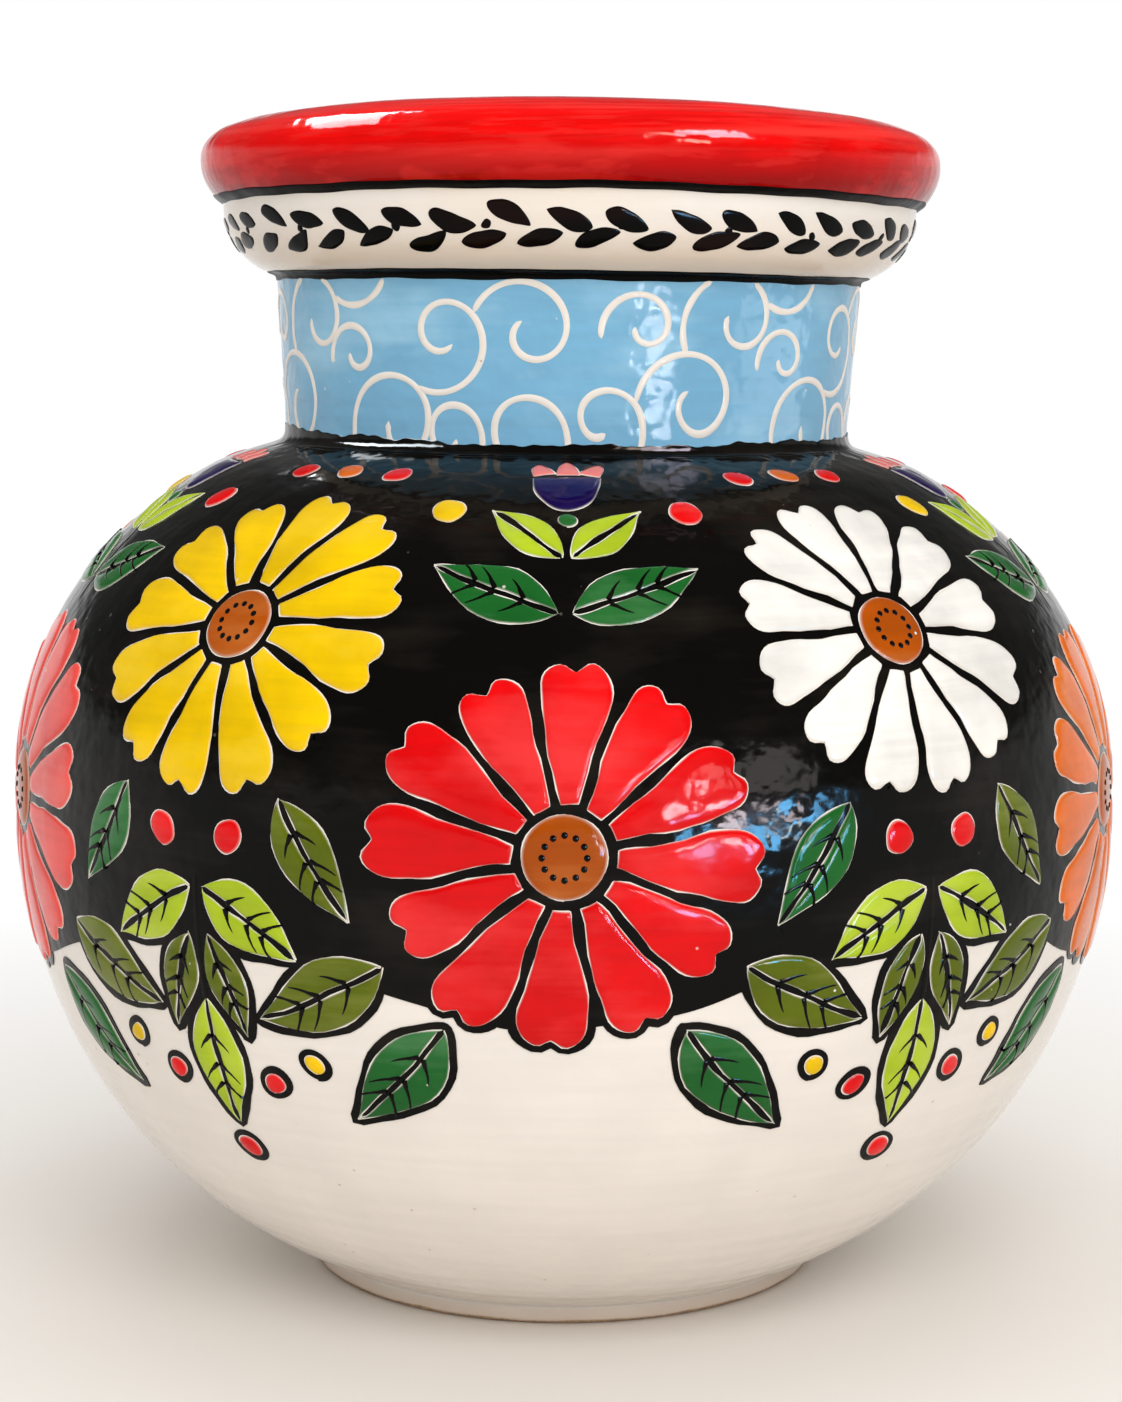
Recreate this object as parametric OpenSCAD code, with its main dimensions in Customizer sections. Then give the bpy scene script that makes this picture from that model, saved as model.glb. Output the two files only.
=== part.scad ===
// Round-bellied vase in thrown sections, luted together with slip.
// Millimetres, +Z up, origin on the axis at the standing face.

/* [Body] */
// Diameter across the widest line of the belly
belly_d = 342; // [300:1:410]
// Height of the lower bowl's widest line above the standing face
belly_h = 146; // [125:1:175]
// Height of the straight band where the two bowls meet
belly_band_h = 9; // [7:0.5:14]
// Height of the shoulder's top edge, where the neck stands
body_h = 262; // [235:1:310]
// Thickness of the thrown wall
wall = 8; // [6:0.5:10]
// Thickness of the floor
floor_t = 9; // [7:0.5:12]

/* [Body curves] */
// Sweep of the arc just below the widest line, in degrees
low_sweep = 20; // [14:1:30]
// Tilt of the wall's normal where the bowl reaches the foot, in degrees below level
foot_tilt = 67; // [62:1:74]
// Sweep of the arc just above the widest line, in degrees
up_sweep = 45; // [38:1:52]
// Tilt of the wall's normal where the shoulder reaches the neck, in degrees above level
shoulder_tilt = 71; // [66:1:78]

/* [Foot] */
// Outer diameter of the foot ring
foot_d = 160; // [135:1:190]
// Height of the foot ring
foot_h = 5; // [4:0.5:10]
// Width of the foot ring's standing face, roundings included
foot_w = 14; // [11:0.5:20]
// Rounding of the foot ring's lower edges
foot_round = 2; // [1:0.25:3]

/* [Neck] */
// Outer diameter of the neck at its base
neck_base_d = 175; // [150:1:205]
// Outer diameter of the neck at its top
neck_top_d = 181; // [155:1:210]
// Height of the neck wall
neck_h = 46.5; // [35:0.5:70]

/* [Collar] */
// How far the collar stands out from the top of the neck
collar_over = 16.5; // [12:0.5:20]
// Radius of the collar's rounded underside
collar_arc_r = 21; // [18:0.5:26]
// Height of the straight band above that rounding
collar_band_h = 2; // [1:0.25:6]

/* [Rim] */
// How far the roll stands out from the collar
rim_over = 7; // [4:0.5:10]
// Radius of the roll's outer bulge
rim_bulge_r = 12; // [11:0.5:15]
// Radius of the roll's flatter crown
rim_crown_r = 37.5; // [30:0.5:48]
// Tilt of the surface normal where the bulge runs into the crown, in degrees above level
rim_crown_tilt = 62; // [54:1:70]
// Width of the roll, from its widest line to the edge of the mouth
rim_w = 30; // [26:0.5:40]

/* [Joints] */
// Thickness of the slip between two sections
slip_t = 0.8; // [0.5:0.1:1.2]
// Height of the tongue that keys each section into the next
tongue_h = 2.5; // [1.5:0.25:4]
// Fillet smoothed into the corner at the foot of the neck
neck_fillet_r = 4; // [2:0.5:6]
// Fillet smoothed into the corners at the collar and the rim
band_fillet_r = 1.5; // [1:0.25:2]
// Fillet smoothed into the corner above the foot ring
foot_fillet_r = 1.5; // [1:0.25:2.5]

/* [Hidden] */
$fn = 240;

// Overlap that lets one outline be joined to or cut by another without a shared edge
lap = 0.4;

// Longer than anything in the outline
reach = belly_d + body_h;

// Radii of the sections
belly_r = belly_d / 2;
foot_r = foot_d / 2;
neck_base_r = neck_base_d / 2;
neck_top_r = neck_top_d / 2;
neck_bore_r = neck_base_r - wall;
collar_r = neck_top_r + collar_over;
rim_r = collar_r + rim_over;

// Heights: each section starts one slip above the flat top of the one below
bowl_z = foot_h + slip_t;
belly_joint_z = belly_h + belly_band_h / 2;
shoulder_z = belly_h + belly_band_h;
neck_z = body_h + slip_t;
flare_z = neck_z + neck_fillet_r;
neck_top_z = neck_z + neck_h;
collar_z = neck_top_z + slip_t;
collar_arc_z = collar_z + collar_arc_r;
collar_top_z = collar_arc_z + collar_band_h;
rim_z = collar_top_z + slip_t;

// Radii of two arcs, tangent to each other, that leave a vertical wall, cross `across` and `up`,
// hand over at angle `mid` and end at angle `end`
function arc_pair(across, up, mid, end) =
    let (
        det = (1 - cos(mid)) * (sin(end) - sin(mid)) - (cos(mid) - cos(end)) * sin(mid),
        first = (across * (sin(end) - sin(mid)) - up * (cos(mid) - cos(end))) / det,
        second = (up * (1 - cos(mid)) - across * sin(mid)) / det
    )
    [first, second];

// Lower bowl: an arc below the widest line, then a base arc that ends on the foot
low_pair = arc_pair(belly_r - foot_r, belly_h - bowl_z, low_sweep, foot_tilt);
low_c = [belly_r - low_pair[0], belly_h];
base_c = low_c + (low_pair[0] - low_pair[1]) * [cos(low_sweep), -sin(low_sweep)];

// Upper bowl: an arc above the widest line, then a shoulder arc that ends at the neck
up_pair = arc_pair(belly_r - neck_base_r, body_h - shoulder_z, up_sweep, shoulder_tilt);
up_c = [belly_r - up_pair[0], shoulder_z];
shoulder_c = up_c + (up_pair[0] - up_pair[1]) * [cos(up_sweep), sin(up_sweep)];

// Collar: one arc for the rounded underside
collar_c = [collar_r - collar_arc_r, collar_arc_z];

// Rim: a bulge that leaves the collar's outer edge, then a crown that ends in a rounded lip
bulge_x = rim_r - rim_bulge_r;
bulge_c = [bulge_x, rim_z + sqrt(pow(rim_bulge_r, 2) - pow(collar_r - bulge_x, 2))];
crown_c = bulge_c + (rim_bulge_r - rim_crown_r) * [cos(rim_crown_tilt), sin(rim_crown_tilt)];
crown_mid_r = rim_crown_r - wall / 2;
lip_x = rim_r - rim_w + wall / 2;
lip_angle = acos((lip_x - crown_c[0]) / crown_mid_r);
lip_c = crown_c + crown_mid_r * [cos(lip_angle), sin(lip_angle)];

// Tongue that stands on a section's flat top, in the middle of the wall
tongue_w = wall / 3;
foot_key_r = foot_r - foot_w / 2;
belly_key_r = belly_r - wall / 2;
neck_key_r = neck_base_r - wall / 2;
collar_key_r = neck_top_r - wall / 2;
rim_key_r = collar_r - wall / 2;

// Half of the plane beside the line through c at the given angle:
// turn is 1 for the side anticlockwise of the line and -1 for the other side
module half_plane(c, angle, turn) {
    translate(c)
        rotate(angle)
            translate([-reach, turn > 0 ? 0 : -reach])
                square([2 * reach, reach]);
}

// Round form bounded by two tangent arcs that hand over on a line at angle `tilt`;
// the far arc rules on the side of the line that `turn` names
module two_arc_form(near_c, near_r, far_c, far_r, tilt, turn) {
    near_wide = near_r > far_r;
    difference() {
        translate(near_wide ? near_c : far_c)
            circle(max(near_r, far_r));
        difference() {
            half_plane(near_c, tilt, near_wide ? turn : -turn);
            translate(near_wide ? far_c : near_c)
                circle(min(near_r, far_r));
        }
    }
}

module two_arc_wall(near_c, near_r, far_c, far_r, tilt, turn) {
    difference() {
        two_arc_form(near_c, near_r, far_c, far_r, tilt, turn);
        two_arc_form(near_c, near_r - wall, far_c, far_r - wall, tilt, turn);
    }
}

// Straight stretch of wall with its outer face at radius r, from z0 to z1
module straight_wall(r, z0, z1) {
    translate([r - wall, z0])
        square([wall, z1 - z0]);
}

module tongue(r, z) {
    translate([r - tongue_w / 2, z - lap])
        square([tongue_w, tongue_h + lap]);
}

// Groove that leaves room for slip all round the tongue of the section below
module groove(r, z) {
    translate([r - tongue_w / 2 - slip_t, z])
        square([tongue_w + 2 * slip_t, tongue_h + slip_t]);
}

// Slip on the flat top at height z, from r0 to r1, and round the tongue at key_r;
// squeeze is how far it is pressed out past r1, into a fillet
module slip_layer(r0, r1, z, key_r, squeeze = 0) {
    difference() {
        union() {
            translate([r0, z])
                square([r1 + squeeze - r0, slip_t]);
            groove(key_r, z);
        }
        tongue(key_r, z);
    }
}

// Fillet in the corner between an upright wall at radius r and the round outside of an arc;
// side is 1 where the arc lies below the corner and -1 where it lies above
module corner_fillet(r, c, arc_r, fillet_r, side) {
    across = r + fillet_r - c[0];
    centre = [r + fillet_r, c[1] + side * sqrt(pow(arc_r + fillet_r, 2) - pow(across, 2))];
    touch = c + (centre - c) * arc_r / (arc_r + fillet_r);
    corner_z = c[1] + side * sqrt(pow(arc_r, 2) - pow(r - c[0], 2));
    corner = [r, corner_z];
    top = [r, centre[1]];
    difference() {
        // Anticlockwise on either side of the arc
        polygon(side > 0 ? [touch, centre, top, corner] : [corner, top, centre, touch]);
        translate(centre)
            circle(fillet_r);
        translate(c)
            circle(arc_r);
    }
}

module foot_outline() {
    inner_r = foot_r - foot_w;
    translate([inner_r + foot_round, 0])
        square([foot_w - 2 * foot_round, foot_h]);
    translate([inner_r, foot_round])
        square([foot_w, foot_h - foot_round]);
    for (r = [inner_r + foot_round, foot_r - foot_round])
        translate([r, foot_round])
            circle(foot_round);
    tongue(foot_key_r, foot_h);
}

module lower_bowl_outline() {
    difference() {
        union() {
            translate([0, bowl_z])
                square([foot_r, floor_t]);
            intersection() {
                two_arc_wall(low_c, low_pair[0], base_c, low_pair[1], -low_sweep, -1);
                translate([0, bowl_z])
                    square([reach, belly_h - bowl_z]);
            }
            straight_wall(belly_r, belly_h, belly_joint_z);
        }
        groove(foot_key_r, foot_h);
    }
    tongue(belly_key_r, belly_joint_z);
}

module upper_bowl_outline() {
    difference() {
        union() {
            straight_wall(belly_r, belly_joint_z + slip_t, shoulder_z);
            // The top is cut level for the neck to stand on, and bored out to the neck's inside
            intersection() {
                two_arc_wall(up_c, up_pair[0], shoulder_c, up_pair[1], up_sweep, 1);
                translate([neck_bore_r, shoulder_z])
                    square([reach, body_h - shoulder_z]);
            }
        }
        groove(belly_key_r, belly_joint_z);
    }
    tongue(neck_key_r, body_h);
}

module neck_outline() {
    difference() {
        polygon([
            [neck_bore_r, neck_z],
            [neck_base_r, neck_z],
            [neck_base_r, flare_z],
            [neck_top_r, neck_top_z],
            [neck_top_r - wall, neck_top_z],
            [neck_bore_r, flare_z]
        ]);
        groove(neck_key_r, body_h);
    }
    tongue(collar_key_r, neck_top_z);
}

module collar_outline() {
    flange_r = neck_top_r - wall;
    difference() {
        union() {
            translate([flange_r, collar_z])
                square([collar_c[0] - flange_r, wall]);
            translate(collar_c)
                intersection() {
                    difference() {
                        circle(collar_arc_r);
                        circle(collar_arc_r - wall);
                    }
                    translate([0, -reach])
                        square(reach);
                }
            straight_wall(collar_r, collar_arc_z, collar_top_z);
        }
        groove(collar_key_r, neck_top_z);
    }
    tongue(rim_key_r, collar_top_z);
}

module rim_outline() {
    difference() {
        two_arc_wall(bulge_c, rim_bulge_r, crown_c, rim_crown_r, rim_crown_tilt, 1);
        half_plane(crown_c, lip_angle, 1);
        // Level foot on the collar, in line with the collar's inside
        square([reach, rim_z]);
        square([collar_r - wall, bulge_c[1]]);
        groove(rim_key_r, collar_top_z);
    }
    translate(lip_c)
        circle(wall / 2);
}

module foot_ring() {
    color("wheat")
        rotate_extrude()
            foot_outline();
}

module lower_bowl() {
    color("linen")
        rotate_extrude()
            lower_bowl_outline();
}

module upper_bowl() {
    color([0.08, 0.08, 0.08])
        rotate_extrude()
            upper_bowl_outline();
}

module neck() {
    color("skyblue")
        rotate_extrude()
            neck_outline();
}

module collar() {
    color("ivory")
        rotate_extrude()
            collar_outline();
}

module rim_roll() {
    color("crimson")
        rotate_extrude()
            rim_outline();
}

module foot_luting() {
    color("tan")
        rotate_extrude() {
            slip_layer(foot_r - foot_w, foot_r, foot_h, foot_key_r, lap);
            corner_fillet(foot_r, base_c, low_pair[1], foot_fillet_r, -1);
        }
}

module belly_luting() {
    color("tan")
        rotate_extrude()
            slip_layer(belly_r - wall, belly_r, belly_joint_z, belly_key_r);
}

module neck_luting() {
    color("tan")
        rotate_extrude() {
            slip_layer(neck_bore_r, neck_base_r, body_h, neck_key_r, lap);
            corner_fillet(neck_base_r, shoulder_c, up_pair[1], neck_fillet_r, 1);
        }
}

module collar_luting() {
    color("tan")
        rotate_extrude() {
            slip_layer(neck_top_r - wall, neck_top_r, neck_top_z, collar_key_r, lap);
            corner_fillet(neck_top_r, collar_c, collar_arc_r, band_fillet_r, -1);
        }
}

module rim_luting() {
    color("tan")
        rotate_extrude() {
            slip_layer(collar_r - wall, collar_r, collar_top_z, rim_key_r, lap);
            corner_fillet(collar_r, bulge_c, rim_bulge_r, band_fillet_r, -1);
        }
}

foot_ring();
foot_luting();
lower_bowl();
belly_luting();
upper_bowl();
neck_luting();
neck();
collar_luting();
collar();
rim_luting();
rim_roll();
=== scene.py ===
"""Looks of a round-bellied, hand-painted vase: glazed shells and raised glaze painting."""
from math import acos, asin, atan2, cos, degrees, dist, hypot, pi, radians, sin, sqrt, tan

import bmesh
import bpy
import numpy as np
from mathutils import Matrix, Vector


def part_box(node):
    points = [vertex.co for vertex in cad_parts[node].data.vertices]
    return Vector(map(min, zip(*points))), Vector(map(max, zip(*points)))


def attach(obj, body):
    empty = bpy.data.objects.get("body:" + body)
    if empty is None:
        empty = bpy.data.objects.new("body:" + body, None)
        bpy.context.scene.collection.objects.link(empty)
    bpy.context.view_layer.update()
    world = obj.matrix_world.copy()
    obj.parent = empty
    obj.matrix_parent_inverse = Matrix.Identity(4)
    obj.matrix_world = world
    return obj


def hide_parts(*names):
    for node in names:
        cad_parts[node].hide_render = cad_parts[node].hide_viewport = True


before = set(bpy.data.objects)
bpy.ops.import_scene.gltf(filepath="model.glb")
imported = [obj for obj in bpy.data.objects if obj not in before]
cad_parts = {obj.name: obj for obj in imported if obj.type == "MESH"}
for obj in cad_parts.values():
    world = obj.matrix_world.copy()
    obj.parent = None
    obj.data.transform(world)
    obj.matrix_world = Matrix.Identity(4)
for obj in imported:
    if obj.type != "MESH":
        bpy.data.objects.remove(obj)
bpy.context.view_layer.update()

MM = 0.001
TURN = 2 * pi
rng = np.random.default_rng(11)

# Camera: the photograph's frame in its own pixels, and the eye point in millimetres
PHOTO_H = 1402
FOCAL_PX = 3000
HORIZON_ABOVE_CENTRE_PX = 381
EYE = (-0.9, -945.4, 297.7)
SENSOR = 36


def add_object(name, data):
    thing = bpy.data.objects.new(name, data)
    bpy.context.scene.collection.objects.link(thing)
    return thing


def make_camera():
    data = bpy.data.cameras.new("camera")
    data.sensor_width = SENSOR
    data.lens = SENSOR * FOCAL_PX / PHOTO_H
    camera = add_object("camera", data)
    camera.location = Vector(EYE) * MM
    pitch = atan2(HORIZON_ABOVE_CENTRE_PX, FOCAL_PX)
    camera.rotation_euler = (pi / 2 - pitch, 0, 0)
    bpy.context.scene.camera = camera


make_camera()


# Sizes in millimetres: radii and heights from the frame, curves as the construction has them
def radius_of(node):
    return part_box(node)[1].x / MM


def bottom_of(node):
    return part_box(node)[0].z / MM


BELLY_R = radius_of("lower_bowl")
FOOT_R = radius_of("foot_ring")
NECK_TOP_R = radius_of("neck")
COLLAR_R = radius_of("collar")
RIM_R = radius_of("rim_roll")
BOWL_Z = bottom_of("lower_bowl")
BELLY_JOINT_Z = bottom_of("belly_luting")
NECK_Z = bottom_of("neck")
COLLAR_Z = bottom_of("collar")
RIM_Z = bottom_of("rim_roll")

WALL = 8
FLOOR_T = 9
SLIP_T = 0.8
BELLY_BAND_H = 9
LOW_SWEEP = 20
FOOT_TILT = 67
UP_SWEEP = 45
SHOULDER_TILT = 71
FOOT_W = 14
FOOT_ROUND = 2
NECK_BASE_R = 87.5
COLLAR_ARC_R = 21
RIM_BULGE_R = 12
RIM_CROWN_R = 37.5
RIM_CROWN_TILT = 62
RIM_W = 30
NECK_FILLET_R = 4
BAND_FILLET_R = 1.5
FOOT_FILLET_R = 1.5

BELLY_Z = BELLY_JOINT_Z - BELLY_BAND_H / 2
SHOULDER_Z = BELLY_JOINT_Z + BELLY_BAND_H / 2
BODY_Z = NECK_Z - SLIP_T
NECK_TOP_Z = COLLAR_Z - SLIP_T
NECK_BORE_R = NECK_BASE_R - WALL
COLLAR_ARC_Z = COLLAR_Z + COLLAR_ARC_R


# Outline of the vase: stretches of line and arc, as (radius, height) points
def polar(centre, r, angle):
    return np.array([centre[0] + r * cos(radians(angle)), centre[1] + r * sin(radians(angle))])


def arc(centre, r, start, end, step=1.6):
    """Points on an arc, about step apart, between two angles in degrees above level."""
    count = max(5, int(abs(radians(end - start)) * r / step) + 1)
    return np.array([polar(centre, r, angle) for angle in np.linspace(start, end, count)])


def line(start, end, step=1.6):
    count = max(2, int(dist(start, end) / step) + 1)
    return np.linspace(start, end, count)


def arc_pair(across, up, mid, end):
    """Radii of two tangent arcs that leave an upright wall, hand over at mid and end at end."""
    (cm, sm), (ce, se) = polar((0, 0), 1, mid), polar((0, 0), 1, end)
    det = (1 - cm) * (se - sm) - (cm - ce) * sm
    first = (across * (se - sm) - up * (cm - ce)) / det
    second = (up * (1 - cm) - across * sm) / det
    return first, second


def fillet(wall_r, centre, arc_r, r, side):
    """Fillet between an upright wall and an arc below it (side 1) or above it (side -1):
    its centre, and the angle at which it touches the arc."""
    across = wall_r + r - centre[0]
    up = side * sqrt((arc_r + r) ** 2 - across ** 2)
    return (wall_r + r, centre[1] + up), degrees(atan2(up, across))


LOW_R, BASE_R = arc_pair(BELLY_R - FOOT_R, BELLY_Z - BOWL_Z, LOW_SWEEP, FOOT_TILT)
LOW_C = (BELLY_R - LOW_R, BELLY_Z)
BASE_C = polar(LOW_C, LOW_R - BASE_R, -LOW_SWEEP)
UP_R, SHOULDER_R = arc_pair(BELLY_R - NECK_BASE_R, BODY_Z - SHOULDER_Z, UP_SWEEP, SHOULDER_TILT)
UP_C = (BELLY_R - UP_R, SHOULDER_Z)
SHOULDER_C = polar(UP_C, UP_R - SHOULDER_R, UP_SWEEP)
COLLAR_C = (COLLAR_R - COLLAR_ARC_R, COLLAR_ARC_Z)
BULGE_X = RIM_R - RIM_BULGE_R
BULGE_C = (BULGE_X, RIM_Z + sqrt(RIM_BULGE_R ** 2 - (COLLAR_R - BULGE_X) ** 2))
CROWN_C = polar(BULGE_C, RIM_BULGE_R - RIM_CROWN_R, RIM_CROWN_TILT)
LIP_R = WALL / 2
LIP_ANGLE = degrees(acos((RIM_R - RIM_W + LIP_R - CROWN_C[0]) / (RIM_CROWN_R - LIP_R)))
LIP_C = polar(CROWN_C, RIM_CROWN_R - LIP_R, LIP_ANGLE)

foot_fillet_c, foot_touch = fillet(FOOT_R, BASE_C, BASE_R, FOOT_FILLET_R, -1)
neck_fillet_c, neck_touch = fillet(NECK_BASE_R, SHOULDER_C, SHOULDER_R, NECK_FILLET_R, 1)
collar_fillet_c, collar_touch = fillet(NECK_TOP_R, COLLAR_C, COLLAR_ARC_R, BAND_FILLET_R, -1)
rim_fillet_c, rim_touch = fillet(COLLAR_R, BULGE_C, RIM_BULGE_R, BAND_FILLET_R, -1)
FOOT_TOP_Z = foot_fillet_c[1]
NECK_FOOT_Z = neck_fillet_c[1]
FLARE_Z = NECK_Z + NECK_FILLET_R
COLLAR_FOOT_Z = collar_fillet_c[1]
RIM_FOOT_Z = rim_fillet_c[1]

FINE = 0.4
RIM_LINE_ANGLE = rim_touch + 4
ZONES = {
    "foot": [
        arc((FOOT_R - FOOT_ROUND, FOOT_ROUND), FOOT_ROUND, -90, 0, FINE),
        line((FOOT_R, FOOT_ROUND), (FOOT_R, FOOT_TOP_Z)),
    ],
    "body": [
        arc(foot_fillet_c, FOOT_FILLET_R, 180, foot_touch + 180, FINE),
        arc(BASE_C, BASE_R, foot_touch, -LOW_SWEEP),
        arc(LOW_C, LOW_R, -LOW_SWEEP, 0),
        line((BELLY_R, BELLY_Z), (BELLY_R, SHOULDER_Z)),
        arc(UP_C, UP_R, 0, UP_SWEEP),
        arc(SHOULDER_C, SHOULDER_R, UP_SWEEP, neck_touch),
    ],
    "neck": [
        arc(neck_fillet_c, NECK_FILLET_R, neck_touch + 180, 180, FINE),
        line((NECK_BASE_R, NECK_FOOT_Z), (NECK_BASE_R, FLARE_Z)),
        line((NECK_BASE_R, FLARE_Z), (NECK_TOP_R, NECK_TOP_Z)),
        line((NECK_TOP_R, NECK_TOP_Z), (NECK_TOP_R, COLLAR_FOOT_Z)),
    ],
    "collar": [
        arc(collar_fillet_c, BAND_FILLET_R, 180, collar_touch + 180, FINE),
        arc(COLLAR_C, COLLAR_ARC_R, collar_touch, 0, 1),
        line((COLLAR_R, COLLAR_ARC_Z), (COLLAR_R, RIM_FOOT_Z)),
        arc(rim_fillet_c, BAND_FILLET_R, 180, rim_touch + 180, FINE),
        arc(BULGE_C, RIM_BULGE_R, rim_touch, RIM_LINE_ANGLE, FINE),
    ],
    "rim": [
        arc(BULGE_C, RIM_BULGE_R, RIM_LINE_ANGLE, RIM_CROWN_TILT, 0.8),
        arc(CROWN_C, RIM_CROWN_R, RIM_CROWN_TILT, LIP_ANGLE, 0.8),
        arc(LIP_C, LIP_R, LIP_ANGLE, LIP_ANGLE + 180, 0.6),
    ],
}


def chain(stretches):
    """One run of points, without the repeated ones where stretches meet."""
    points = np.concatenate(stretches)
    apart = np.linalg.norm(np.diff(points, axis=0), axis=1) > 1e-4
    return points[np.concatenate([[True], apart])]


OUTLINE = chain([stretch for zone in ZONES.values() for stretch in zone])
STEPS = np.linalg.norm(np.diff(OUTLINE, axis=0), axis=1)
OUTLINE_S = np.concatenate([[0], np.cumsum(STEPS)])
ALONG = np.gradient(OUTLINE, OUTLINE_S, axis=0)
ALONG /= np.linalg.norm(ALONG, axis=1)[:, None]
ZONE_S = {}
zone_start = 0.0
for zone_name, zone_stretches in ZONES.items():
    zone_points = chain(zone_stretches)
    zone_length = np.linalg.norm(np.diff(zone_points, axis=0), axis=1).sum()
    ZONE_S[zone_name] = (zone_start, zone_start + zone_length)
    zone_start += zone_length


def outline_at(s):
    """Radius, height and outward normal of the outline at arc length s."""
    r, z = (np.interp(s, OUTLINE_S, OUTLINE[:, k]) for k in (0, 1))
    dr, dz = (np.interp(s, OUTLINE_S, ALONG[:, k]) for k in (0, 1))
    size = np.hypot(dr, dz)
    return r, z, dz / size, -dr / size


def s_at_height(z, zone="body"):
    """Arc length of a zone's outline at a height."""
    start, end = ZONE_S[zone]
    inside = (OUTLINE_S >= start) & (OUTLINE_S <= end)
    return np.interp(z, OUTLINE[inside, 1], OUTLINE_S[inside])


# Waves of a hand-thrown wall: depth in millimetres, count round the pot, run up the wall and phase
WALL_WAVES = ((0.20, 2, 70, 0), (0.13, 3, -45, 1.1), (0.06, 7, 21, 2.3), (0.04, 11, -13, 0))
RING_DEPTH = 0.03
RING_PITCH = 8
STEADY_H = 12


def wobble(s, phi):
    """Unevenness of the wall in millimetres, with none at the standing edge."""
    uneven = RING_DEPTH * np.sin(TURN * s / RING_PITCH + 1.5 * np.sin(phi + s / 40))
    for depth, count, run, phase in WALL_WAVES:
        uneven = uneven + depth * np.sin(count * phi + s / run + phase)
    return uneven * np.clip((s - FOOT_ROUND) / STEADY_H, 0, 1)


def about_axis(r, z, phi):
    """Points in metres from radii and heights in millimetres; phi runs rightwards from the front."""
    return np.stack(np.broadcast_arrays(r * np.sin(phi), -r * np.cos(phi), z), axis=-1) * MM


def on_skin(s, phi, lift):
    """Points in metres, lift millimetres off the outer surface."""
    r, z, out, up = outline_at(s)
    lift = lift + wobble(s, phi)
    return about_axis(r + out * lift, z + up * lift, phi)


# Warp of the fired pot: a lean in radians, drops in metres, and the heights at which they are
LEAN = 0.0115
LEAN_FROM = 0.110
LEAN_TO = 0.250
LEAN_PIVOT = (LEAN_FROM + LEAN_TO) / 2
SAG = 0.0019
SAG_FROM = BULGE_C[1] * MM
SAG_TO = SAG_FROM + 0.018
SLUMP = 0.0018
SLUMP_Z = RIM_FOOT_Z * MM
DIP = 0.0022
DIP_Z = BODY_Z * MM
DENT_H = 0.006


def eased(value, start, end):
    """Smooth step from 0 at start to 1 at end."""
    share = np.clip((value - start) / (end - start), 0, 1)
    return share ** 2 * (3 - 2 * share)


def near(value, middle):
    """1 at the middle, falling off smoothly over the height of a dent."""
    return np.exp(-((value - middle) / DENT_H) ** 2)


def leaned(points):
    """Points with the warp of the fired pot: above the belly it tips to the right, the neck's foot has sunk
    in, and the crown of the rim and the seam below it sag at the left and right."""
    x, y, z = np.array(points).T
    angle = LEAN * eased(z, LEAN_FROM, LEAN_TO)
    leaned_z = z - angle * x
    leaned_x = x + angle * np.maximum(leaned_z - LEAN_PIVOT, 0)
    sideways = leaned_x ** 2 / np.maximum(leaned_x ** 2 + y ** 2, MM ** 2)
    drop = SAG * eased(z, SAG_FROM, SAG_TO) + SLUMP * near(z, SLUMP_Z)
    return np.stack([leaned_x, y, leaned_z - drop * sideways - DIP * near(z, DIP_Z)], axis=1)


# Shells: each section is a closed revolved wall
SEGMENTS = 256
PHI = np.arange(SEGMENTS) * TURN / SEGMENTS
LEAST_STEP = 0.05
SHARP_EDGE = radians(40)


def make_piece(name, points, faces, materials):
    """A smooth mesh piece on the vase's one body, with its normals turned outwards."""
    mesh = bpy.data.meshes.new(name)
    mesh.from_pydata(leaned(points), [], faces)
    work = bmesh.new()
    work.from_mesh(mesh)
    bmesh.ops.recalc_face_normals(work, faces=work.faces)
    work.to_mesh(mesh)
    work.free()
    mesh.polygons.foreach_set("use_smooth", [True] * len(mesh.polygons))
    mesh.set_sharp_from_angle(angle=SHARP_EDGE)
    for material in materials:
        mesh.materials.append(material)
    piece = add_object(name, mesh)
    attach(piece, "root")
    return piece


def revolve(rows, closed):
    """Points and faces of rows round the axis; an open run is closed at the centres of its end rows."""
    count, around = rows.shape[:2]
    points = rows.reshape(-1, 3)
    start = np.arange(around)
    after = (start + 1) % around
    faces = []
    for i in range(count if closed else count - 1):
        low, high = i * around, (i + 1) % count * around
        faces += np.stack([low + start, low + after, high + after, high + start], axis=1).tolist()
    if not closed:
        for row in (0, count - 1):
            points = np.concatenate([points, [rows[row].mean(axis=0)]])
            hub = np.full(around, len(points) - 1)
            faces += np.stack([row * around + start, row * around + after, hub], axis=1).tolist()
    return points, faces


def profile_rows(profile):
    r, z = np.array(profile).T[..., None]
    return about_axis(r, z, PHI)


def make_shell(zone, inner, before):
    """Wall of one zone: the profile before its skin if it has one, the skin and the inner profile.
    Returns its points, its faces and how many points the skin has."""
    start, end = ZONE_S[zone]
    inside = OUTLINE_S[(OUTLINE_S > start + LEAST_STEP) & (OUTLINE_S < end - LEAST_STEP)]
    s = np.concatenate([[start], inside, [end]])
    rows = [on_skin(s[:, None], PHI, 0), profile_rows(inner)]
    if len(before):
        rows.insert(0, profile_rows(before))
    points, faces = revolve(np.concatenate(rows), closed=not len(before))
    return points, faces, len(s) * SEGMENTS


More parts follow.
